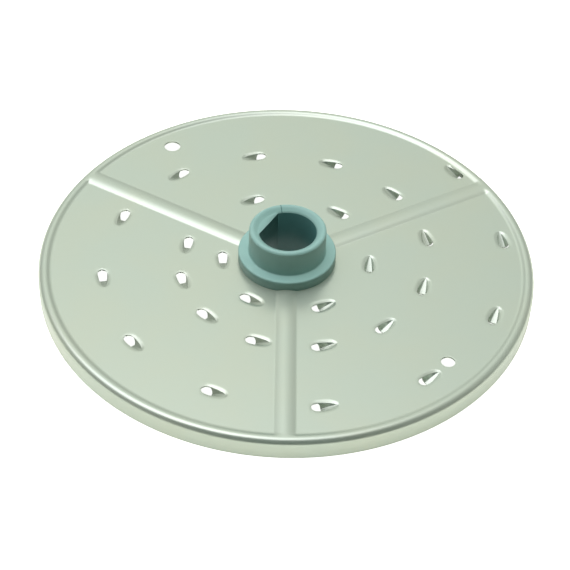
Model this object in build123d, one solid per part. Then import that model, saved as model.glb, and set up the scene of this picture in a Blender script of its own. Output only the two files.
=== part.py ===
from build123d import *
import math
import os

# Plate, pressed from one round of sheet steel; Z = 0 is the edge of the skirt that it rests on
DISC_DIAMETER = 175.0
RIM_HEIGHT = 7.3
SHEET = 0.8
SHOULDER_RADIUS = 2.2
RIM_LAND = 0.1
RIM_WALL = 2.45
RIM_FOOT_RADIUS = 2.4
PANEL_DROP = 0.68
CENTRE_HOLE = 23.6

# Ribs, rounded across, that run out from under the hub into the wall of the rim, a touch below its crest
RIB_COUNT = 3
RIB_WIDTH = 7.8
RIB_FOOT_RADIUS = 4.8
RIB_SINK = 0.04
FIRST_RIB_ANGLE = 30.0

# Teeth, each one step further out than the last, so that together they sweep the whole face
TOOTH_COUNT = 27
SPARSE_TEETH = 6
SPARSE_ANGLE = 60.0
CLOSE_ANGLE = 30.0
FIRST_ROW_ANGLE = 150.0
FIRST_TOOTH_RADIUS = 22.6
LAST_TOOTH_INSET = 1.9
ROW_OFFSET = 12.9
SCOOP_LENGTH = 5.7
SCOOP_HALF_WIDTH = 1.65
SCOOP_DEPTH = 2.6
OPENING_LENGTH = 3.3

# Two round holes, each set in from the foot of the rim
HANGING_HOLE = 6.0
HANGING_HOLE_INSET = 6.55
HANGING_HOLE_ANGLE = 125.5
PILOT_HOLE = 4.8
PILOT_HOLE_INSET = 9.55
PILOT_HOLE_ANGLE = 317.7

# Hub, moulded round the centre hole of the plate and over the inner ends of the ribs
FLANGE_DIAMETER = 34.5
FLANGE_HEIGHT = 3.98
FLANGE_EDGE = 0.6
COLLAR_DIAMETER = 27.1
COLLAR_HEIGHT = 9.9
COLLAR_EDGE = 1.0
COLLAR_FOOT = 0.5
DISH_DIAMETER = 24.4
DISH_DEPTH = 1.4
BORE_DIAMETER = 20.3
BORE_FLAT = 7.85
BORE_FLAT_ANGLE = 150.0
LOWER_FLANGE = 2.2
BOSS_DIAMETER = 27.1
BOSS_LIFT = 0.8
BOSS_EDGE = 0.5
GATE_NOTCH_WIDTH = 0.5
GATE_NOTCH_REACH = 0.7
GATE_NOTCH_DEPTH = 0.6
GATE_NOTCH_ANGLE = 105.0

# How near an edge has to be to the size it is picked by
MATCH = 1e-4

# Levels and places that follow from the sizes above
rim_radius = DISC_DIAMETER / 2
crest = RIM_HEIGHT
panel = RIM_HEIGHT - PANEL_DROP
shoulder = rim_radius - SHOULDER_RADIUS
panel_outer_radius = shoulder - RIM_LAND - RIM_WALL
sector = 360.0 / RIB_COUNT
rib_start = CENTRE_HOLE / 4
rib_root = SHEET / 2
tooth_step = (panel_outer_radius - LAST_TOOTH_INSET - FIRST_TOOTH_RADIUS) / (TOOTH_COUNT - 1)
tooth_length = SCOOP_LENGTH + OPENING_LENGTH
tail = -tooth_length / 2
lip = tail + SCOOP_LENGTH
scoop_keel = Vector(SCOOP_LENGTH, 0, -SCOOP_DEPTH)
scoop_edge = Vector(SCOOP_LENGTH, SCOOP_HALF_WIDTH, 0)
dome_growth = 1 + SHEET / scoop_keel.cross(scoop_edge).normalized().Z / SCOOP_DEPTH
flange_top = panel + FLANGE_HEIGHT
collar_top = flange_top + COLLAR_HEIGHT
lower_flange_bottom = panel - SHEET - LOWER_FLANGE


# Bent wall from its foot at X = 0, level with the panel, up to its crest at X = run, depth below the top face
def wall(run, foot_radius, depth):
    slope = 2 * math.degrees(math.atan(PANEL_DROP / run))
    crest_radius = run / math.sin(math.radians(slope)) - foot_radius
    return [
        CenterArc((0, panel + foot_radius), foot_radius + depth, 270, slope),
        CenterArc((run, crest - crest_radius), crest_radius - depth, 90, slope),
    ]


# Everything under the panels, the rim and the skirt, filled in, depth below their top face
def turned_form(depth):
    edges = [
        Line((0, -depth), (0, panel - depth)),
        Line((0, panel - depth), (panel_outer_radius, panel - depth)),
        Line((shoulder - RIM_LAND, crest - depth), (shoulder, crest - depth)),
        CenterArc((shoulder, crest - SHOULDER_RADIUS), SHOULDER_RADIUS - depth, 0, 90),
        Line((rim_radius - depth, crest - SHOULDER_RADIUS), (rim_radius - depth, -depth)),
        Line((rim_radius - depth, -depth), (0, -depth)),
    ]
    edges += [Pos(panel_outer_radius, 0) * edge for edge in wall(RIM_WALL, RIM_FOOT_RADIUS, depth)]
    return revolve(Plane.XZ * make_face(edges), Axis.Z)


# A rib along +X, filled in, depth below its top face
def rib_form(depth):
    half = RIB_WIDTH / 2
    foot = panel - depth - RIB_SINK
    root = panel - depth - rib_root
    side = [Pos(-half, -RIB_SINK) * edge for edge in wall(half, RIB_FOOT_RADIUS, depth)]
    edges = side + [mirror(edge, about=Plane.YZ) for edge in side]
    edges += [
        Line((-half, foot), (-half, root)),
        Line((-half, root), (half, root)),
        Line((half, root), (half, foot)),
    ]
    section = Plane.YZ.offset(rib_start) * make_face(edges)
    return extrude(section, shoulder - rib_start, dir=(1, 0, 0))


# The sheet: what lies between its top face and the same form one sheet lower
def pressed_sheet():
    turns = [Rot(0, 0, FIRST_RIB_ANGLE + index * sector) for index in range(RIB_COUNT)]
    outside, inside = [turned_form(d) + [turn * rib_form(d) for turn in turns] for d in (0, SHEET)]
    return outside - inside


# Where a tooth sits: its middle on the panel, its opening pointing clockwise along the sweep
def tooth_place(index):
    if index < SPARSE_TEETH:
        row = FIRST_ROW_ANGLE + index * SPARSE_ANGLE
    else:
        row = FIRST_ROW_ANGLE + SPARSE_TEETH * SPARSE_ANGLE + (index - SPARSE_TEETH) * CLOSE_ANGLE
    radius = FIRST_TOOTH_RADIUS + index * tooth_step
    angle = row + math.degrees(math.asin(ROW_OFFSET / radius))
    return Rot(0, 0, angle) * Pos(radius, 0, panel) * Rot(0, 0, -90)


# Pyramid with its point at the tail of a tooth and a V for its mouth at the cutting lip
def scoop():
    mouth = Polyline(
        (-SCOOP_HALF_WIDTH, 0), (0, -SCOOP_DEPTH), (SCOOP_HALF_WIDTH, 0), (0, SCOOP_DEPTH), close=True)
    return loft([Vertex(tail, 0, 0), Pos(lip, 0, 0) * Plane.YZ * make_face(mouth)])


# Outside of a scoop below the panel, one sheet away from its flanks, with a round keel
def dome():
    half_width = SCOOP_HALF_WIDTH * dome_growth
    flanks = FilletPolyline(
        (-half_width, 0), (0, -SCOOP_DEPTH * dome_growth), (half_width, 0), radius=SHEET)
    mouth = make_face([flanks, Line((half_width, 0), (-half_width, 0))])
    return loft([Vertex(lip - SCOOP_LENGTH * dome_growth, 0, 0), Pos(lip, 0, 0) * Plane.YZ * mouth])


# Opening in front of the lip, with a round far end
def opening():
    straight = OPENING_LENGTH - SCOOP_HALF_WIDTH
    slot = Pos(lip + straight / 2, 0) * Rectangle(straight, 2 * SCOOP_HALF_WIDTH)
    slot += Pos(lip + straight, 0) * Circle(SCOOP_HALF_WIDTH)
    mouth = slot & Pos(lip + OPENING_LENGTH / 2, 0) * Rectangle(OPENING_LENGTH, 2 * SCOOP_HALF_WIDTH)
    return extrude(mouth, SHEET, both=True)


# Hole through the plate, its middle set in from the foot of the rim
def round_hole(diameter, inset, angle):
    drill = extrude(Circle(diameter / 2), RIM_HEIGHT, both=True)
    return Rot(0, 0, angle) * Pos(panel_outer_radius - inset, 0, panel) * drill


def grating_plate():
    plate = pressed_sheet()
    places = [tooth_place(index) for index in range(TOOTH_COUNT)]
    outside = dome()
    plate += [place * outside for place in places]
    inside = scoop()
    gap = opening()
    cuts = [place * inside for place in places] + [place * gap for place in places]
    cuts.append(round_hole(HANGING_HOLE, HANGING_HOLE_INSET, HANGING_HOLE_ANGLE))
    cuts.append(round_hole(PILOT_HOLE, PILOT_HOLE_INSET, PILOT_HOLE_ANGLE))
    cuts.append(round_hole(CENTRE_HOLE, panel_outer_radius, 0))
    return plate - cuts


# Round edges of a turned body at one radius and height
def ring(body, diameter, height):
    circles = body.edges().filter_by(GeomType.CIRCLE)
    at_height = circles.filter_by(lambda edge: abs(edge.center().Z - height) < MATCH)
    return at_height.filter_by(lambda edge: abs(2 * edge.radius - diameter) < MATCH)


def drive_hub(plate):
    outline = Polyline(
        (0, BOSS_LIFT), (BOSS_DIAMETER / 2, BOSS_LIFT), (BOSS_DIAMETER / 2, lower_flange_bottom),
        (FLANGE_DIAMETER / 2, lower_flange_bottom), (FLANGE_DIAMETER / 2, flange_top),
        (COLLAR_DIAMETER / 2, flange_top), (COLLAR_DIAMETER / 2, collar_top), (0, collar_top), close=True)
    hub = revolve(Plane.XZ * make_face(outline), Axis.Z)
    hub = fillet(ring(hub, COLLAR_DIAMETER, collar_top), COLLAR_EDGE)
    hub = fillet(ring(hub, COLLAR_DIAMETER, flange_top), COLLAR_FOOT)
    hub = fillet(ring(hub, FLANGE_DIAMETER, flange_top), FLANGE_EDGE)
    hub = fillet(ring(hub, FLANGE_DIAMETER, lower_flange_bottom), FLANGE_EDGE)
    hub = fillet(ring(hub, BOSS_DIAMETER, BOSS_LIFT), BOSS_EDGE)
    dish_floor = collar_top - DISH_DEPTH
    dish = Polyline(
        (0, dish_floor), (BORE_DIAMETER / 2, dish_floor), (DISH_DIAMETER / 2, collar_top), (0, collar_top),
        close=True)
    hub -= revolve(Plane.XZ * make_face(dish), Axis.Z)
    bore = Circle(BORE_DIAMETER / 2)
    bore -= Pos(BORE_FLAT + BORE_DIAMETER / 2, 0) * Rectangle(BORE_DIAMETER, BORE_DIAMETER)
    hub -= Rot(0, 0, BORE_FLAT_ANGLE) * extrude(bore, collar_top)
    notch = Box(2 * GATE_NOTCH_REACH, GATE_NOTCH_WIDTH, 2 * GATE_NOTCH_DEPTH)
    hub -= Rot(0, 0, GATE_NOTCH_ANGLE) * Pos(COLLAR_DIAMETER / 2, 0, collar_top) * notch
    return hub - plate


os.makedirs("parts", exist_ok=True)
plate = grating_plate()
export_step(plate, "parts/grating_plate.step")
export_step(drive_hub(plate), "parts/drive_hub.step")
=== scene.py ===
import math
import bmesh
import bpy
from mathutils import Matrix, Vector
from mathutils.geometry import delaunay_2d_cdt


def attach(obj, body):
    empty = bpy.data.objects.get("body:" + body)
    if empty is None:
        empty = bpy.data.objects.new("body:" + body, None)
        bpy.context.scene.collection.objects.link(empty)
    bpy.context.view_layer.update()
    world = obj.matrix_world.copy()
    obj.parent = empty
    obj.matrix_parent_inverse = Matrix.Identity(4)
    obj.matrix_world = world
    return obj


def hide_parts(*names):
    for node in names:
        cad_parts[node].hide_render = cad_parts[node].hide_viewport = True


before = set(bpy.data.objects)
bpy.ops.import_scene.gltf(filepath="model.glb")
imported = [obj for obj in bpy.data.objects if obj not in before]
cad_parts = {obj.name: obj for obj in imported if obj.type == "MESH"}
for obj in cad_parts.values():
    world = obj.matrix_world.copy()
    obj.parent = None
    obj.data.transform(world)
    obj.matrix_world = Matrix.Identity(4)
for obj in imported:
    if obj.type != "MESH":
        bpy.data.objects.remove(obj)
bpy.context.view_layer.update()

scene = bpy.context.scene
mm = 0.001
mergeGap = 0.002  # mm, points nearer than this are one point
cutGap = 1e-5  # mm, the same for the outlines that are cut out of a panel
mixFirst = 6  # sockets of a Mix node that mixes colours
mixSecond = 7
mixResult = 2


# sRGB hex to the linear colour that the shaders work in
def hexColour(text):
    channels = [int(text[i:i + 2], 16) / 255 for i in (1, 3, 5)]
    linear = [c / 12.92 if c <= 0.04045 else ((c + 0.055) / 1.055) ** 2.4 for c in channels]
    return (*linear, 1.0)


# One node with its settings; an input is a value or another node's output
def addNode(tree, kind, settings=None, inputs=None):
    node = tree.nodes.new(kind)
    for name, value in (settings or {}).items():
        setattr(node, name, value)
    for key, value in (inputs or {}).items():
        if isinstance(value, bpy.types.NodeSocket):
            tree.links.new(value, node.inputs[key])
        else:
            node.inputs[key].default_value = value
    return node


def newMaterial(name):
    material = bpy.data.materials.new(name)
    material.use_nodes = True
    material.node_tree.nodes.clear()
    return material, material.node_tree


def newObject(name, mesh):
    piece = bpy.data.objects.new(name, mesh)
    scene.collection.objects.link(piece)
    return piece


# Points in mm and faces into a mesh in metres
def sheetMesh(name, points, faces):
    mesh = bpy.data.meshes.new(name)
    mesh.from_pydata([Vector(p) * mm for p in points], [], faces)
    return mesh


# Quads between neighbouring rows of equal length
def gridFaces(rows, start, closed=False):
    width = len(rows[0])
    span = width if closed else width - 1
    faces = []
    for i in range(len(rows) - 1):
        for j in range(span):
            k = (j + 1) % width
            a = start + i * width
            faces.append((a + j, a + k, a + width + k, a + width + j))
    return faces


def spread(first, last, steps):
    return [first + (last - first) * i / steps for i in range(steps + 1)]


def turned(points, angle):
    c = math.cos(angle)
    s = math.sin(angle)
    return [(x * c - y * s, x * s + y * c) for x, y in points]


# The pressed sheet, sizes in mm: the solid's own, apart from the ribs, whose feet are crisper here
plate = {
    "discRadius": 87.5,
    "rimHeight": 7.3,
    "sheet": 0.8,
    "shoulderRadius": 2.2,
    "rimLand": 0.1,
    "centreHoleRadius": 11.8,
    "ribWidth": 7.9,
    "ribAngles": (30, 150, 270),
    "panelDrop": 0.68,
    "rimWall": 2.45,
    "rimFoot": 2.4,  # radius of the bend at the foot
    "ribFoot": 2.4,
    "guard": 0.1,  # flat strip beside each foot, so that the bend doesn't tilt the panel's shading
    "skirtRows": (4.4, 3.0, 1.4, 0.5, 0.0),  # heights of the rows of points down the skirt
    "rimSteps": 80,  # points round a third of the rim
    "ribSteps": 24,  # along a rib
    "innerSteps": 16,  # round a third of the centre hole
    "rimFootSteps": 6,
    "ribFootSteps": 5,
    "crestSteps": 9,
    "shoulderSteps": 14,
    "sharpAngle": 40,  # degrees, edges sharper than this stay crisp
}
panelZ = plate["rimHeight"] - plate["panelDrop"]
shoulder = plate["discRadius"] - plate["shoulderRadius"]
panelRadius = shoulder - plate["rimLand"] - plate["rimWall"]
halfRib = plate["ribWidth"] / 2
sector = 2 * math.pi / len(plate["ribAngles"])


# Bent wall from its foot at 0 to its crest at run: pairs of distance and height
def wallSection(run, foot, footSteps):
    drop = plate["panelDrop"]
    slope = 2 * math.atan(drop / run)
    crest = run / math.sin(slope) - foot
    points = [(foot * math.sin(a), foot * (1 - math.cos(a))) for a in spread(0, slope, footSteps)]
    for bend in spread(slope, 0, plate["crestSteps"])[1:]:
        points.append((run - crest * math.sin(bend), drop - crest * (1 - math.cos(bend))))
    return points


# Across a rib, from its right foot over its crest to its left foot
halfSection = [(-plate["guard"], 0.0)]
halfSection += wallSection(halfRib, plate["ribFoot"], plate["ribFootSteps"])
ribSection = [(out - halfRib, rise) for out, rise in halfSection]
ribSection += [(-side, rise) for side, rise in reversed(ribSection[:-1])]
ribEdge = halfRib + plate["guard"]

# Out over the rim: up its wall, over the shoulder and down the skirt
rimSection = [(panelRadius - plate["guard"], 0.0)]
for out, rise in wallSection(plate["rimWall"], plate["rimFoot"], plate["rimFootSteps"]):
    rimSection.append((panelRadius + out, rise))
crestRows = len(rimSection)
for bend in spread(0, math.pi / 2, plate["shoulderSteps"]):
    rimSection.append((
        shoulder + plate["shoulderRadius"] * math.sin(bend),
        plate["panelDrop"] - plate["shoulderRadius"] * (1 - math.cos(bend))))
rimSection += [(plate["discRadius"], height - panelZ) for height in plate["skirtRows"]]


# A point in a rib's own frame: so far from the axis of the disc and so far to the left of the rib
def ribPoint(rib, radius, side, rise):
    angle = math.radians(rib) + math.asin(side / radius)
    return (radius * math.cos(angle), radius * math.sin(angle), panelZ + rise)


# Where a rib runs into the rim the two pressed forms flow together
def together(first, second):
    return first + second - first * second / plate["panelDrop"]


# One row round the whole disc, finer over the ribs
def roundRow(radius, rise, onWall):
    row = []
    for rib in plate["ribAngles"]:
        row += [ribPoint(rib, radius, s, together(rise, r) if onWall else rise) for s, r in ribSection[:-1]]
        first = math.asin(ribEdge / radius)
        for angle in spread(first, sector - first, plate["rimSteps"])[:-1]:
            angle += math.radians(rib)
            row.append((radius * math.cos(angle), radius * math.sin(angle), panelZ + rise))
    return row


sheetParts = []
rows = [roundRow(radius, rise, i < crestRows) for i, (radius, rise) in enumerate(rimSection)]
sheetParts.append(([p for row in rows for p in row], gridFaces(rows, 0, True)))
ribRadii = spread(plate["centreHoleRadius"], panelRadius - plate["guard"], plate["ribSteps"])
for rib in plate["ribAngles"]:
    rows = [[ribPoint(rib, radius, s, r) for s, r in ribSection] for radius in ribRadii]
    sheetParts.append(([p for row in rows for p in row], gridFaces(rows, 0)))
print("rim and ribs:", sum(len(faces) for _, faces in sheetParts), "faces")

# One tooth, drawn with its tail towards -X and its opening towards +X, sizes in mm
tooth = {
    "length": 9.0,
    "scoopLength": 5.7,
    "slotHalfWidth": 1.65,
    "depth": 2.6,  # of the scoop's floor at the lip
    "floorHalf": 1.0,  # half the width of the floor at the lip; it narrows to the tail
    "keelRadius": 0.3,  # bend between the floor and a flank
    "flankAngle": 80,  # degrees
    "edgeRadius": 0.3,  # bend at the top of a flank
    "apronAngle": 24,  # degrees, where the apron meets that bend
    "apronRadius": 3.4,  # the sheet dips gently before it plunges
    "tipHalfWidth": 0.25,  # of the scoop at its tail
    "tailInset": 0.55,  # how far in the floor starts
    "rollStart": 0.8,  # how far behind that the sheet starts to bend
    "rampSoftness": 0.08,  # rounds the start of the ramp, as a share of its length
    "leastTaper": 0.02,  # the floor at the tail, as a share of its width at the lip
    "lipCorner": 1.3,  # how far the flanks reach round the corners of the slot
    "levelShare": 0.85,  # how much of the bend is gone at the far end of the slot
    "endRun": 0.9,  # from the end of the slot to the level sheet
    "margin": 0.1,  # level strip round the patch
    "firmShare": 0.9,  # how much of the slot's half width stays as it is where the rim is near
    "scoopSteps": 20,  # points along the scoop; the next ones count those round each bend or side
    "cornerSteps": 6,
    "slotSteps": 2,
    "endSteps": 8,
    "keelSteps": 3,
    "flankSteps": 3,
    "edgeSteps": 5,
    "apronSteps": 4,
}


def smooth(value):
    value = min(1.0, max(0.0, value))
    return value * value * (3 - 2 * value)


# Half of the section across the lip: along the floor, up a straight flank, over its edge and the apron
def sectionAtLip():
    steep = math.radians(tooth["flankAngle"])
    gentle = math.radians(tooth["apronAngle"])
    floor, keel, edge, apron = [tooth[k] for k in ("floorHalf", "keelRadius", "edgeRadius", "apronRadius")]
    points = [(0.0, tooth["depth"])]
    for turn in spread(0, steep, tooth["keelSteps"]):
        points.append((floor + keel * math.sin(turn), tooth["depth"] - keel * (1 - math.cos(turn))))
    foot = Vector(points[-1])
    topDepth = apron * (1 - math.cos(gentle)) + edge * (math.cos(gentle) - math.cos(steep))
    top = Vector((foot.x + (foot.y - topDepth) / math.tan(steep), topDepth))
    points += [tuple(foot.lerp(top, s)) for s in spread(0, 1, tooth["flankSteps"])[1:-1]]
    for turn in spread(steep, gentle, tooth["edgeSteps"]):
        out = top.x + edge * (math.sin(steep) - math.sin(turn))
        points.append((out, topDepth - edge * (math.cos(turn) - math.cos(steep))))
    inner = points[-1][0]
    for turn in spread(gentle, 0, tooth["apronSteps"])[1:]:
        points.append((inner + apron * (math.sin(gentle) - math.sin(turn)), apron * (1 - math.cos(turn))))
    return points


lipSection = sectionAtLip()
lipHalf = lipSection[-1][0]
brinkHalf, brinkDepth = lipSection[-1 - tooth["apronSteps"]]


# The section at the lip, made shallower and narrower further back; the apron goes right round the tail
def crossSection(along):
    run = along - tooth["tailInset"]
    share = run / (tooth["scoopLength"] - tooth["tailInset"])
    soft = tooth["rampSoftness"]
    ramp = (share + math.hypot(share, soft)) / (1 + math.hypot(1, soft))
    dip = smooth(1 + run / tooth["rollStart"])
    floor = tooth["floorHalf"]
    taper = max(share, tooth["leastTaper"])
    swell = math.sqrt(1 - (1 - max(share, 0.0)) ** 2)
    brink = tooth["tipHalfWidth"] + (brinkHalf - tooth["tipHalfWidth"]) * swell
    narrow = (brink - taper * floor) / (brinkHalf - floor)
    points = []
    for across, depth in lipSection:
        if depth > brinkDepth:
            inside = min(across, floor)
            out = inside * taper + (across - inside) * narrow
            points.append((out, brinkDepth * dip + (depth - brinkDepth) * ramp))
        else:
            points.append((brink + across - brinkHalf, depth * dip))
    return points


# How deep the section at the lip is, so far from its middle
def lipDepth(across):
    for (y1, z1), (y2, z2) in zip(lipSection, lipSection[1:]):
        if across <= y2:
            return z1 + (z2 - z1) * (across - y1) / (y2 - y1)
    return 0.0


# A tooth's patch of the sheet; near the rim its outer side is squeezed in to stay within outerRadius
def toothPatch(seatRadius, outerRadius):
    tailX = -tooth["length"] / 2
    lip = tooth["scoopLength"]
    slotEnd = tooth["length"]
    slotHalf = tooth["slotHalfWidth"]
    outerEdge = lipHalf + tooth["margin"]
    firm = tooth["firmShare"] * slotHalf
    points = []
    faces = []

    def place(along, across, depth):
        x = tailX + along
        room = math.sqrt(outerRadius ** 2 - x ** 2) - seatRadius
        if across > firm and room < outerEdge:
            across = firm + (across - firm) * (room - firm) / (outerEdge - firm)
        return (x, across, panelZ - depth)

    # the scoop, from its tail to its lip
    stations = spread(tooth["tailInset"] - tooth["rollStart"], lip, tooth["scoopSteps"])
    scoop = []
    for along in [stations[0] - tooth["margin"]] + stations:
        half = crossSection(along)
        if along <= stations[0]:
            half = [(y, 0.0) for y, d in half]
        half.append((half[-1][0] + tooth["margin"], 0.0))
        row = [place(along, -y, d) for y, d in reversed(half[1:])]
        scoop.append(row + [place(along, y, d) for y, d in half])
    points += [p for row in scoop for p in row]
    faces += gridFaces(scoop, 0)

    # the sheet round the slot; a column has its place, the slot's half width and where the bend starts
    side = lipSection[tooth["keelSteps"] + 1:]
    lipEdge = side[0][0]
    shares = [(y - lipEdge) / (lipHalf - lipEdge) for y, d in side]
    columns = []
    for turn in spread(0, math.pi / 2, tooth["cornerSteps"]):
        edge = lipEdge + (slotHalf - lipEdge) * math.sin(turn)
        columns.append((lip + tooth["lipCorner"] * (1 - math.cos(turn)), edge, edge))
    straightEnd = slotEnd - slotHalf
    for along in spread(columns[-1][0], straightEnd, tooth["slotSteps"])[1:]:
        columns.append((along, slotHalf, slotHalf))
    for turn in spread(0, math.pi / 2, tooth["endSteps"])[1:]:
        columns.append((straightEnd + slotHalf * math.sin(turn), slotHalf * math.cos(turn), slotHalf))
    for sign in (-1, 1):
        strip = []
        for along, edge, bent in columns:
            fade = 1 - tooth["levelShare"] * smooth((along - lip) / (slotEnd - lip))
            row = []
            for share in shares:
                depth = fade * lipDepth(bent + (lipHalf - bent) * share)
                row.append(place(along, sign * (edge + (lipHalf - edge) * share), depth))
            strip.append(row + [place(along, sign * outerEdge, 0.0)])
        for ahead in (tooth["endRun"], tooth["endRun"] + tooth["margin"]):
            row = [place(slotEnd + ahead, sign * lipHalf * share, 0.0) for share in shares]
            strip.append(row + [place(slotEnd + ahead, sign * outerEdge, 0.0)])
        start = len(points)
        points += [p for row in strip for p in row]
        quads = gridFaces(strip, start)
        faces += quads if sign > 0 else [tuple(reversed(q)) for q in quads]
    return points, faces


# Outline of a patch, as a loop of its own boundary points
def patchOutline(points, faces):
    shape = bmesh.new()
    corners = [shape.verts.new(p) for p in points]
    for face in faces:
        shape.faces.new([corners[i] for i in face])
    bmesh.ops.remove_doubles(shape, verts=shape.verts, dist=mergeGap)
    border = [e for e in shape.edges if len(e.link_faces) == 1]
    start = max(border, key=lambda e: max(v.co.y for v in e.verts))
    loop = [start.verts[0], start.verts[1]]
    used = {start}
    while True:
        ahead = [e for e in loop[-1].link_edges if len(e.link_faces) == 1 and e not in used]
        if not ahead:
            break
        used.add(ahead[0])
        loop.append(ahead[0].other_vert(loop[-1]))
    outline = [(v.co.x, v.co.y) for v in loop[:-1]]
    shape.free()
    return outline


# Where each tooth sits, in mm and degrees: one step further out than the last, on a row of its own
spiral = {
    "count": 27,
    "sparseTeeth": 6,
    "sparseAngle": 60,
    "closeAngle": 30,
    "firstRowAngle": 150,
    "firstRadius": 22.6,
    "lastInset": 1.9,
    "rowOffset": 12.9,
    "rimGap": 0.03,  # between the last tooth's patch and the strip beside the rim
}
spiral["step"] = (panelRadius - spiral["lastInset"] - spiral["firstRadius"]) / (spiral["count"] - 1)


def toothSeat(index):
    row = spiral["firstRowAngle"] + min(index, spiral["sparseTeeth"]) * spiral["sparseAngle"]
    row += max(index - spiral["sparseTeeth"], 0) * spiral["closeAngle"]
    radius = spiral["firstRadius"] + index * spiral["step"]
    angle = math.radians(row) + math.asin(spiral["rowOffset"] / radius)
    return radius, angle


# Geometry Nodes that set a run of teeth along the spiral
def spiralTree():
    tree = bpy.data.node_groups.new("toothSpiral", "GeometryNodeTree")
    inputKinds = {
        "Tooth": "NodeSocketObject",
        "Steel": "NodeSocketMaterial",
        "First tooth": "NodeSocketInt",
        "Count": "NodeSocketInt",
        "First radius": "NodeSocketFloat",
        "Step": "NodeSocketFloat",
        "Row offset": "NodeSocketFloat",
        "First row angle": "NodeSocketFloat",
        "Sparse teeth": "NodeSocketInt",
        "Sparse angle": "NodeSocketFloat",
        "Close angle": "NodeSocketFloat",
    }
    for name, kind in inputKinds.items():
        tree.interface.new_socket(name, in_out="INPUT", socket_type=kind)
    tree.interface.new_socket("Geometry", in_out="OUTPUT", socket_type="NodeSocketGeometry")
    given = addNode(tree, "NodeGroupInput").outputs

    # each sum has a name, and takes the inputs and what the sums above it give
    sums = (
        ("index", "ADD", "point", "First tooth"),
        ("sparseRows", "MINIMUM", "index", "Sparse teeth"),
        ("sparseTurn", "MULTIPLY", "sparseRows", "Sparse angle"),
        ("sparseEnd", "ADD", "First row angle", "sparseTurn"),
        ("pastSparse", "SUBTRACT", "index", "Sparse teeth"),
        ("closeRows", "MAXIMUM", "pastSparse", 0.0),
        ("closeTurn", "MULTIPLY", "closeRows", "Close angle"),
        ("row", "ADD", "sparseEnd", "closeTurn"),
        ("outward", "MULTIPLY", "index", "Step"),
        ("radius", "ADD", "First radius", "outward"),
        ("lead", "DIVIDE", "Row offset", "radius"),
        ("leadAngle", "ARCSINE", "lead", 0.0),
        ("angle", "ADD", "row", "leadAngle"),
        ("cosine", "COSINE", "angle", 0.0),
        ("sine", "SINE", "angle", 0.0),
        ("seatX", "MULTIPLY", "radius", "cosine"),
        ("seatY", "MULTIPLY", "radius", "sine"),
        ("heading", "SUBTRACT", "angle", math.pi / 2),
    )
    known = {name: given[name] for name in inputKinds}
    known["point"] = addNode(tree, "GeometryNodeInputIndex").outputs[0]
    for name, operation, first, second in sums:
        node = addNode(tree, "ShaderNodeMath", {"operation": operation}, {
            0: known[first], 1: known.get(second, second)})
        known[name] = node.outputs[0]
    seat = addNode(tree, "ShaderNodeCombineXYZ", inputs={0: known["seatX"], 1: known["seatY"]})
    heading = addNode(tree, "ShaderNodeCombineXYZ", inputs={2: known["heading"]})
    line = addNode(tree, "GeometryNodeMeshLine", inputs={"Count": given["Count"]})
    seats = addNode(tree, "GeometryNodeSetPosition", inputs={
        "Geometry": line.outputs[0], "Position": seat.outputs[0]})
    one = addNode(tree, "GeometryNodeObjectInfo", inputs={"Object": given["Tooth"]})
    teeth = addNode(tree, "GeometryNodeInstanceOnPoints", inputs={
        "Points": seats.outputs[0], "Instance": one.outputs["Geometry"], "Rotation": heading.outputs[0]})
    real = addNode(tree, "GeometryNodeRealizeInstances", inputs={"Geometry": teeth.outputs[0]})
    steel = addNode(tree, "GeometryNodeSetMaterial", inputs={
        "Geometry": real.outputs[0], "Material": given["Steel"]})
    addNode(tree, "NodeGroupOutput", inputs={"Geometry": steel.outputs[0]})
    return tree


# Runs the tree for one stretch of the spiral and gives a plain mesh
def toothRun(tree, pattern, material, first, count):
    carrier = newObject("teeth", bpy.data.meshes.new("teeth"))
    modifier = carrier.modifiers.new("teeth", "NODES")
    modifier.node_group = tree
    values = {
        "Tooth": pattern,
        "Steel": material,
        "First tooth": first,
        "Count": count,
        "First radius": spiral["firstRadius"] * mm,
        "Step": spiral["step"] * mm,
        "Row offset": spiral["rowOffset"] * mm,
        "First row angle": math.radians(spiral["firstRowAngle"]),
        "Sparse teeth": spiral["sparseTeeth"],
        "Sparse angle": math.radians(spiral["sparseAngle"]),
        "Close angle": math.radians(spiral["closeAngle"]),
    }
    for socket in tree.interface.items_tree:
        if socket.item_type == "SOCKET" and socket.in_out == "INPUT":
            modifier[socket.identifier] = values[socket.name]
    mesh = bpy.data.meshes.new_from_object(carrier.evaluated_get(bpy.context.evaluated_depsgraph_get()))
    bpy.data.objects.remove(carrier)
    return mesh


# Stainless sheet, cold rolled and polished: a grey mirror with a soft blur and faint roll lines
steelLook = {
    "colour": "#C3CDBD",
    "filmColour": "#C1CDBF",  # where a thin film of wash water has dried
    "filmSize": 24.0,  # mm
    "filmDetail": 2.0,
    "filmRange": (0.35, 0.65),  # from bare steel to the full film, in the noise
    "metallic": 0.66,  # less than 1, as fine scratches scatter part of the light evenly
    "roughness": 0.28,
    "grainLength": 30.0,  # mm along the roll
    "grainWidth": 0.5,  # mm across it, drawn coarser than the real polish lines so that it shows
    "grainDetail": 3.0,
    "grainDepth": 0.1,  # mm
    "grainBump": 0.02,
}


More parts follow.
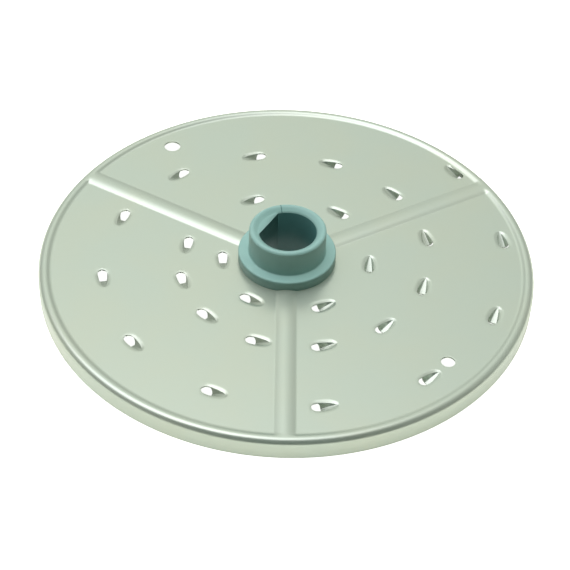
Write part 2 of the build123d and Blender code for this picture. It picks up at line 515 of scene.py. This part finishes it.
def stainlessSheet():
    material, tree = newMaterial("polishedStainlessSheet")
    place = addNode(tree, "ShaderNodeTexCoord")
    film = addNode(tree, "ShaderNodeTexNoise", inputs={
        "Vector": place.outputs["Object"],
        "Scale": 1 / (steelLook["filmSize"] * mm),
        "Detail": steelLook["filmDetail"],
    })
    cover = addNode(tree, "ShaderNodeMapRange", inputs={
        "Value": film.outputs["Fac"],
        "From Min": steelLook["filmRange"][0],
        "From Max": steelLook["filmRange"][1],
    })
    colour = addNode(tree, "ShaderNodeMix", {"data_type": "RGBA"}, {
        "Factor": cover.outputs["Result"],
        mixFirst: hexColour(steelLook["colour"]),
        mixSecond: hexColour(steelLook["filmColour"]),
    })
    along = 1 / (steelLook["grainLength"] * mm)
    across = 1 / (steelLook["grainWidth"] * mm)
    stretch = addNode(tree, "ShaderNodeMapping", inputs={
        "Vector": place.outputs["Object"], "Scale": (along, across, along)})
    grain = addNode(tree, "ShaderNodeTexNoise", inputs={
        "Vector": stretch.outputs["Vector"], "Scale": 1.0, "Detail": steelLook["grainDetail"]})
    bump = addNode(tree, "ShaderNodeBump", inputs={
        "Strength": steelLook["grainBump"],
        "Distance": steelLook["grainDepth"] * mm,
        "Height": grain.outputs["Fac"],
    })
    shader = addNode(tree, "ShaderNodeBsdfPrincipled", inputs={
        "Base Color": colour.outputs[mixResult],
        "Metallic": steelLook["metallic"],
        "Roughness": steelLook["roughness"],
        "Normal": bump.outputs["Normal"],
    })
    addNode(tree, "ShaderNodeOutputMaterial", inputs={"Surface": shader.outputs["BSDF"]})
    return material


# Glass-filled moulding plastic, grey-green: a matt skin with fine grain and lighter flow marks
hubLook = {
    "colour": "#86AFA8",
    "flowColour": "#94BBB2",
    # painted shade: the bore's inside is coloured darker than the skin, standing in for the shade that falls
    # in it
    "paintedBoreShade": "#416C69",
    "boreRadius": 10.3,  # mm, inside it the skin is painted darker, as painted shade in the deep bore
    "boreTop": 19.05,  # mm
    "weldColour": "#4E7670",
    "weldAngle": 102,  # degrees, where the plastic's two flows met
    "weldHalfWidth": 0.14,  # mm
    "weldTop": 18.5,  # mm, it shows on the collar's top only
    "flowSize": 6.0,  # mm
    "flowDetail": 5.0,
    "grainSize": 0.35,  # mm, coarser than the real skin so that it shows
    "grainDetail": 2.0,
    "grainDepth": 0.05,  # mm
    "grainBump": 0.12,
    "roughness": 0.42,
    "sharpAngle": 32,  # degrees, edges sharper than this stay crisp
}


def mouldedPlastic():
    material, tree = newMaterial("mouldedGreyGreenPlastic")
    place = addNode(tree, "ShaderNodeTexCoord")
    flow = addNode(tree, "ShaderNodeTexNoise", inputs={
        "Vector": place.outputs["Object"],
        "Scale": 1 / (hubLook["flowSize"] * mm),
        "Detail": hubLook["flowDetail"],
    })
    skin = addNode(tree, "ShaderNodeMix", {"data_type": "RGBA"}, {
        "Factor": flow.outputs["Fac"],
        mixFirst: hexColour(hubLook["colour"]),
        mixSecond: hexColour(hubLook["flowColour"]),
    })
    flat = addNode(tree, "ShaderNodeVectorMath", {"operation": "MULTIPLY"}, {
        0: place.outputs["Object"], 1: (1.0, 1.0, 0.0)})
    reach = addNode(tree, "ShaderNodeVectorMath", {"operation": "LENGTH"}, {0: flat.outputs["Vector"]})
    weldFrame = addNode(tree, "ShaderNodeMapping", {"vector_type": "TEXTURE"}, {
        "Vector": place.outputs["Object"], "Rotation": (0, 0, math.radians(hubLook["weldAngle"]))})
    spot = addNode(tree, "ShaderNodeSeparateXYZ", inputs={0: weldFrame.outputs["Vector"]})
    aside = addNode(tree, "ShaderNodeMath", {"operation": "ABSOLUTE"}, {0: spot.outputs["Y"]})

    # the bore gets a darker colour as painted shade, and the weld line its own colour, where all their
    # limits, in mm, hold
    limits = {
        "paintedBoreShade": (
            ("LESS_THAN", reach.outputs["Value"], hubLook["boreRadius"]),
            ("LESS_THAN", spot.outputs["Z"], hubLook["boreTop"]),
        ),
        "weldColour": (
            ("LESS_THAN", aside.outputs[0], hubLook["weldHalfWidth"]),
            ("GREATER_THAN", spot.outputs["X"], 0.0),
            ("GREATER_THAN", spot.outputs["Z"], hubLook["weldTop"]),
        ),
    }
    for colour, tests in limits.items():
        mask = 1.0
        for operation, value, limit in tests:
            holds = addNode(tree, "ShaderNodeMath", {"operation": operation}, {0: value, 1: limit * mm})
            both = addNode(tree, "ShaderNodeMath", {"operation": "MULTIPLY"}, {0: mask, 1: holds.outputs[0]})
            mask = both.outputs[0]
        skin = addNode(tree, "ShaderNodeMix", {"data_type": "RGBA"}, {
            "Factor": mask,
            mixFirst: skin.outputs[mixResult],
            mixSecond: hexColour(hubLook[colour]),
        })
    grain = addNode(tree, "ShaderNodeTexNoise", inputs={
        "Vector": place.outputs["Object"],
        "Scale": 1 / (hubLook["grainSize"] * mm),
        "Detail": hubLook["grainDetail"],
    })
    bump = addNode(tree, "ShaderNodeBump", inputs={
        "Strength": hubLook["grainBump"],
        "Distance": hubLook["grainDepth"] * mm,
        "Height": grain.outputs["Fac"],
    })
    shader = addNode(tree, "ShaderNodeBsdfPrincipled", inputs={
        "Base Color": skin.outputs[mixResult],
        "Roughness": hubLook["roughness"],
        "Normal": bump.outputs["Normal"],
    })
    addNode(tree, "ShaderNodeOutputMaterial", inputs={"Surface": shader.outputs["BSDF"]})
    return material


steel = stainlessSheet()
plastic = mouldedPlastic()

# Round holes, sizes in mm and degrees, each with the drawn-in edge that a punch leaves
holes = {
    "hanging": {"radius": 3.0, "inset": 6.55, "angle": 125.5},
    "pilot": {"radius": 2.4, "inset": 9.55, "angle": 317.7},
    "steps": 48,
    "section": ((0.7, 0.0), (0.45, 0.0), (0.3, 0.004), (0.15, 0.018), (0.0, 0.04)),  # out and down
}


def holePatch(hole):
    reach = panelRadius - hole["inset"]
    turn = math.radians(hole["angle"])
    x = reach * math.cos(turn)
    y = reach * math.sin(turn)
    around = spread(0, 2 * math.pi, holes["steps"])[:-1]
    rows = []
    for out, drop in holes["section"]:
        r = hole["radius"] + out
        rows.append([(x + r * math.cos(a), y + r * math.sin(a), panelZ - drop) for a in around])
    return rows


# The level parts of the sheet, cut out round the teeth and holes
patchPoints, patchFaces = toothPatch(spiral["firstRadius"], panelRadius)
endLimit = panelRadius - plate["guard"] - spiral["rimGap"]
endPoints, endFaces = toothPatch(panelRadius - spiral["lastInset"], endLimit)
outlines = [patchOutline(patchPoints, patchFaces)] * (spiral["count"] - 1)
outlines.append(patchOutline(endPoints, endFaces))
cutOuts = []
for index, outline in enumerate(outlines):
    radius, angle = toothSeat(index)
    seat = Vector((radius * math.cos(angle), radius * math.sin(angle)))
    cutOuts.append([(x + seat.x, y + seat.y) for x, y in turned(outline, angle - math.pi / 2)])
for name in ("hanging", "pilot"):
    rows = holePatch(holes[name])
    cutOuts.append([(x, y) for x, y, z in rows[0]])
    sheetParts.append(([p for row in rows for p in row], gridFaces(rows, 0, True)))


def isInside(point, loop):
    inside = False
    for (ax, ay), (bx, by) in zip(loop, loop[1:] + loop[:1]):
        if (ay > point.y) != (by > point.y) and point.x < ax + (point.y - ay) * (bx - ax) / (by - ay):
            inside = not inside
    return inside


# Triangles between an outer loop and the loops cut out of it
def levelPart(loops, z):
    points = []
    edges = []
    for loop in loops:
        start = len(points)
        points += [Vector(p) for p in loop]
        edges += [(start + i, start + (i + 1) % len(loop)) for i in range(len(loop))]
    insideOnly = 1
    flat, _, triangles, *_ = delaunay_2d_cdt(points, edges, [], insideOnly, cutGap)
    faces = []
    for corners in triangles:
        middle = sum((flat[i] for i in corners), Vector((0, 0))) / 3
        if isInside(middle, loops[0]) and not any(isInside(middle, loop) for loop in loops[1:]):
            faces.append(corners)
    return [(p.x, p.y, z) for p in flat], faces


# A panel between two ribs: out along one, round the rim's foot, back along the other, round the hole
for rib in plate["ribAngles"]:
    base = math.radians(rib)
    outward = [ribPoint(rib, radius, ribEdge, 0)[:2] for radius in ribRadii]
    nextRib = rib + math.degrees(sector)
    inward = [ribPoint(nextRib, radius, -ribEdge, 0)[:2] for radius in reversed(ribRadii)]
    first = math.asin(ribEdge / ribRadii[-1])
    outer = turned([(ribRadii[-1] * math.cos(a), ribRadii[-1] * math.sin(a))
                    for a in spread(first, sector - first, plate["rimSteps"])[1:-1]], base)
    first = math.asin(ribEdge / ribRadii[0])
    inner = turned([(ribRadii[0] * math.cos(a), ribRadii[0] * math.sin(a))
                    for a in spread(sector - first, first, plate["innerSteps"])[1:-1]], base)
    inside = []
    for loop in cutOuts:
        middle = sum((Vector(p) for p in loop), Vector((0, 0))) / len(loop)
        if 0 < (math.atan2(middle.y, middle.x) - base) % (2 * math.pi) < sector:
            inside.append(loop)
    sheetParts.append(levelPart([outward + outer + inward + inner] + inside, panelZ))
print("level parts:", sum(len(faces) for _, faces in sheetParts), "faces")

# Join the sheet, give it its thickness and keep its cut edges sharp
tree = spiralTree()
pattern = newObject("toothPattern", sheetMesh("toothPattern", patchPoints, patchFaces))
endPattern = newObject("toothPatternAtRim", sheetMesh("toothPatternAtRim", endPoints, endFaces))
runs = [
    toothRun(tree, pattern, steel, 0, spiral["count"] - 1),
    toothRun(tree, endPattern, steel, spiral["count"] - 1, 1),
]
for shape in (pattern, endPattern):
    bpy.data.objects.remove(shape)
joined = bmesh.new()
for points, faces in sheetParts:
    part = sheetMesh("part", points, faces)
    joined.from_mesh(part)
    bpy.data.meshes.remove(part)
for run in runs:
    joined.from_mesh(run)
    bpy.data.meshes.remove(run)
bmesh.ops.remove_doubles(joined, verts=joined.verts, dist=mergeGap * mm)
bmesh.ops.dissolve_degenerate(joined, edges=joined.edges, dist=mergeGap * mm)
bmesh.ops.recalc_face_normals(joined, faces=joined.faces)
highest = max(joined.faces, key=lambda f: f.calc_center_median().z)
if highest.normal.z < 0:
    bmesh.ops.reverse_faces(joined, faces=joined.faces)
openEdges = [e for e in joined.edges if len(e.link_faces) == 1]
print("sheet:", len(joined.faces), "faces,", len(openEdges), "cut edges")
sheetData = bpy.data.meshes.new("gratingPlate")
joined.to_mesh(sheetData)
joined.free()
sheetPiece = newObject("gratingPlateSheet", sheetData)
thickness = sheetPiece.modifiers.new("thickness", "SOLIDIFY")
thickness.thickness = plate["sheet"] * mm
thickness.offset = -1
thickness.use_quality_normals = True
plateMesh = bpy.data.meshes.new_from_object(sheetPiece.evaluated_get(bpy.context.evaluated_depsgraph_get()))
bpy.data.objects.remove(sheetPiece)
plateMesh.name = "gratingPlate"
plateMesh.materials.clear()
plateMesh.materials.append(steel)
plateMesh.shade_smooth()
plateMesh.set_sharp_from_angle(angle=math.radians(plate["sharpAngle"]))
platePiece = newObject("gratingPlate", plateMesh)
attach(platePiece, "root")
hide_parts("grating_plate")
print("plate:", sum(len(face.vertices) - 2 for face in plateMesh.polygons), "triangles")

# The hub keeps the solid's own form, with its points joined so that it shades smoothly
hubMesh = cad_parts["drive_hub"].data.copy()
hubShape = bmesh.new()
hubShape.from_mesh(hubMesh)
bmesh.ops.remove_doubles(hubShape, verts=hubShape.verts, dist=mergeGap * mm)
hubShape.to_mesh(hubMesh)
hubShape.free()
hubMesh.name = "driveHub"
hubMesh.materials.clear()
hubMesh.materials.append(plastic)
hubMesh.shade_smooth()
hubMesh.set_sharp_from_angle(angle=math.radians(hubLook["sharpAngle"]))
hubPiece = newObject("driveHub", hubMesh)
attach(hubPiece, "root")
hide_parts("drive_hub")
print("hub:", sum(len(face.vertices) - 2 for face in hubMesh.polygons), "triangles")

# Camera, as the photograph was taken; angles in degrees
view = {
    "azimuth": -90.957,
    "elevation": 42.574,
    "distance": 587.5,  # mm from the middle of the disc, on the floor
    "roll": 2.152,
    "focalPixels": 1645.1,
    "framePixels": 570,
    "middle": (286.32, 271.79),  # pixel that the middle of the disc falls on
    "sensor": 36.0,  # mm
    "nearest": 0.01,  # m
}
azimuth = math.radians(view["azimuth"])
elevation = math.radians(view["elevation"])
roll = math.radians(view["roll"])
back = Vector((
    math.cos(elevation) * math.cos(azimuth), math.cos(elevation) * math.sin(azimuth), math.sin(elevation)))
level = Vector((-math.sin(azimuth), math.cos(azimuth), 0))
upright = back.cross(level)
right = level * math.cos(roll) + upright * math.sin(roll)
up = upright * math.cos(roll) - level * math.sin(roll)
cameraData = bpy.data.cameras.new("camera")
cameraData.sensor_width = view["sensor"]
cameraData.lens = view["focalPixels"] / view["framePixels"] * view["sensor"]
cameraData.shift_x = 0.5 - view["middle"][0] / view["framePixels"]
cameraData.shift_y = view["middle"][1] / view["framePixels"] - 0.5
cameraData.clip_start = view["nearest"]
camera = newObject("camera", cameraData)
stand = Matrix.Translation(back * view["distance"] * mm)
camera.matrix_world = stand @ Matrix((right, up, back)).transposed().to_4x4()
scene.camera = camera

# White table, lit from within a little for the eye and for the steel, so that it stays white under the disc
table = {
    "halfSize": 4.0,  # m
    "colour": "#F4F3E9",
    "gap": 0.1,  # mm under the disc, so that the two don't share a plane
    "seen": 0.95,
    "mirrored": 0.3,
}
floorSize = table["halfSize"]
floorZ = -table["gap"] * mm
floorMesh = bpy.data.meshes.new("floor")
corners = [(x * floorSize, y * floorSize, floorZ) for x, y in ((-1, -1), (1, -1), (1, 1), (-1, 1))]
floorMesh.from_pydata(corners, [], [(0, 1, 2, 3)])
floorMaterial, tree = newMaterial("whiteTable")
path = addNode(tree, "ShaderNodeLightPath").outputs
lift = addNode(tree, "ShaderNodeMath", {"operation": "MULTIPLY"}, {
    0: path["Is Camera Ray"], 1: table["seen"]})
for ray in ("Is Glossy Ray", "Is Transmission Ray"):
    lift = addNode(tree, "ShaderNodeMath", {"operation": "MULTIPLY_ADD"}, {
        0: path[ray], 1: table["mirrored"], 2: lift.outputs[0]})
paper = addNode(tree, "ShaderNodeBsdfDiffuse", inputs={"Color": hexColour(table["colour"])})
glow = addNode(tree, "ShaderNodeEmission", inputs={"Strength": lift.outputs[0]})
both = addNode(tree, "ShaderNodeAddShader", inputs={0: paper.outputs[0], 1: glow.outputs[0]})
addNode(tree, "ShaderNodeOutputMaterial", inputs={"Surface": both.outputs[0]})
floorMesh.materials.append(floorMaterial)
floor = newObject("floor", floorMesh)

# Studio: a pale wall behind the disc, a bright panel overhead to the left, the dark room behind the camera
studio = {
    # sweep goes in degrees from the horizon behind the disc over the top, side from -1 at the left to 1
    "wallSweep": (
        (0, 0.64), (20, 0.75), (43, 1.0), (60, 1.0), (85, 0.88), (105, 0.55), (165, 0.45), (180, 0.4)),
    "wallSide": ((-1, 0.45), (-0.45, 0.7), (-0.12, 1.0), (0.0, 0.94), (0.12, 0.82), (0.45, 0.58), (1, 0.4)),
    "wallColour": "#FBFFF6",
    "lampSweep": ((50, 0.0), (61, 0.8), (68, 1.0), (92, 1.0), (106, 0.0)),
    "lampSide": ((-0.75, 0.0), (-0.5, 1.0), (-0.05, 0.95), (0.26, 0.0)),
    "lampColour": "#F8F0FF",
    "lampStrength": 2.1,
    "darkSweep": ((90, 0.0), (108, 0.9), (140, 0.92), (160, 0.96), (178, 0.96)),
    "darkSide": ((-0.8, 0.0), (-0.4, 1.0), (0.45, 1.0), (0.85, 0.0)),
    "darkColour": "#20C0A0",
    "darkGlow": 0.07,
    "backdropColour": "#FFFFFF",
    "overhead": 1.5,  # W per square metre, for the matt surfaces
    "overheadTilt": 1,  # degrees from straight above, to the back
    "overheadAngle": 6,  # degrees across, small so that upright walls stay darker
}
world = bpy.data.worlds.new("studio")
world.use_nodes = True
scene.world = world
tree = world.node_tree
tree.nodes.clear()
aim = addNode(tree, "ShaderNodeTexCoord")
split = addNode(tree, "ShaderNodeSeparateXYZ", inputs={0: aim.outputs["Generated"]})
turn = addNode(tree, "ShaderNodeMath", {"operation": "ARCTAN2"}, {
    0: split.outputs["Z"], 1: split.outputs["Y"]})
sweep = addNode(tree, "ShaderNodeMath", {"operation": "DEGREES"}, {0: turn.outputs[0]})

# how strong each part is: its strength along the sweep times its strength to the side
spans = {"Sweep": (sweep.outputs[0], 0, 180), "Side": (split.outputs["X"], -1, 1)}
strengths = {"wall": 1.0, "lamp": studio["lampStrength"], "dark": 1.0}
for part in strengths:
    for span, (value, low, high) in spans.items():
        stops = studio[part + span]
        share = addNode(tree, "ShaderNodeMapRange", inputs={
            "Value": value, "From Min": low, "From Max": high})
        ramp = addNode(tree, "ShaderNodeValToRGB", inputs={0: share.outputs["Result"]})
        elements = ramp.color_ramp.elements
        while len(elements) < len(stops):
            elements.new(0.5)  # each gets its own place below
        for element, (place, strength) in zip(elements, stops):
            element.position = (place - low) / (high - low)
            element.color = (strength, strength, strength, 1)
        both = addNode(tree, "ShaderNodeMath", {"operation": "MULTIPLY"}, {
            0: strengths[part], 1: ramp.outputs[0]})
        strengths[part] = both.outputs[0]
spared = addNode(tree, "ShaderNodeMath", {"operation": "SUBTRACT"}, {0: 1.0, 1: strengths["dark"]})
wall = addNode(tree, "ShaderNodeMath", {"operation": "MULTIPLY"}, {
    0: strengths["wall"], 1: spared.outputs[0]})
dark = addNode(tree, "ShaderNodeMath", {"operation": "MULTIPLY"}, {
    0: strengths["dark"], 1: studio["darkGlow"]})
walls = addNode(tree, "ShaderNodeBackground", inputs={
    "Color": hexColour(studio["wallColour"]), "Strength": wall.outputs[0]})
panel = addNode(tree, "ShaderNodeBackground", inputs={
    "Color": hexColour(studio["lampColour"]), "Strength": strengths["lamp"]})
shade = addNode(tree, "ShaderNodeBackground", inputs={
    "Color": hexColour(studio["darkColour"]), "Strength": dark.outputs[0]})
room = addNode(tree, "ShaderNodeAddShader", inputs={0: walls.outputs[0], 1: panel.outputs[0]})
room = addNode(tree, "ShaderNodeAddShader", inputs={0: room.outputs[0], 1: shade.outputs[0]})

# the eye sees plain white behind the disc, and the steel mirrors the studio
backdrop = addNode(tree, "ShaderNodeBackground", inputs={"Color": hexColour(studio["backdropColour"])})
path = addNode(tree, "ShaderNodeLightPath")
mixed = addNode(tree, "ShaderNodeMixShader", inputs={
    0: path.outputs["Is Camera Ray"], 1: room.outputs[0], 2: backdrop.outputs[0]})
addNode(tree, "ShaderNodeOutputWorld", inputs={"Surface": mixed.outputs[0]})

# soft light from straight above for the plastic
overheadData = bpy.data.lights.new("overhead", "SUN")
overheadData.energy = studio["overhead"]
overheadData.angle = math.radians(studio["overheadAngle"])
overhead = newObject("overhead", overheadData)
overhead.rotation_euler = (math.radians(-studio["overheadTilt"]), 0, 0)
overhead.visible_glossy = False
scene.view_settings.view_transform = "Standard"
print("studio ready")
